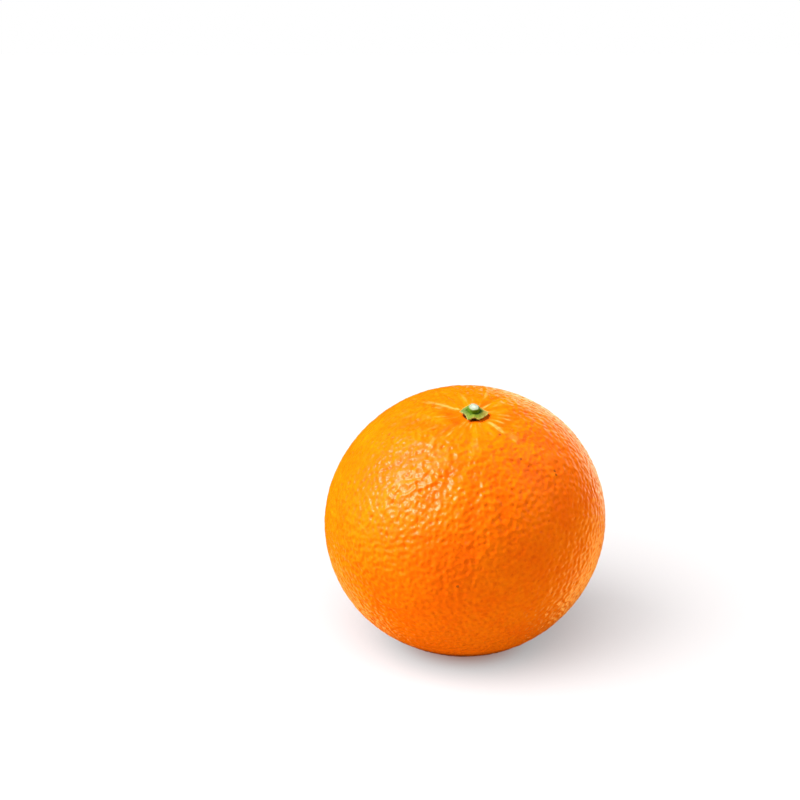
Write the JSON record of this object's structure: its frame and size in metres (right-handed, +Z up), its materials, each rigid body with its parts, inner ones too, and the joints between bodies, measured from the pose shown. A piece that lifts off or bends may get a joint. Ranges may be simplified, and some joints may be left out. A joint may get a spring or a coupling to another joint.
{
  "type": "whole orange",
  "caption": "Whole round orange with a pebbled rind, a small green star-shaped calyx in a shallow dip and a short cut stem stub, resting on a small flat spot.",
  "frame": {"origin": "centre of the underside of the part's box, on the flat spot that the fruit rests on", "axes": "+Z up as the fruit rests, -Y toward the front, where the stem end leans, +X to the right of it"},
  "size_m": [0.0759, 0.0757, 0.0718],
  "materials": {
    "rind": "waxy, finely pebbled",
    "calyx": "satin, leafy",
    "stem": "green bark with a pale cut end"
  },
  "bodies": {
    "root": {"fruit": "rind", "calyx": "calyx", "stem_stub": "stem"}
  },
  "joints": []
}
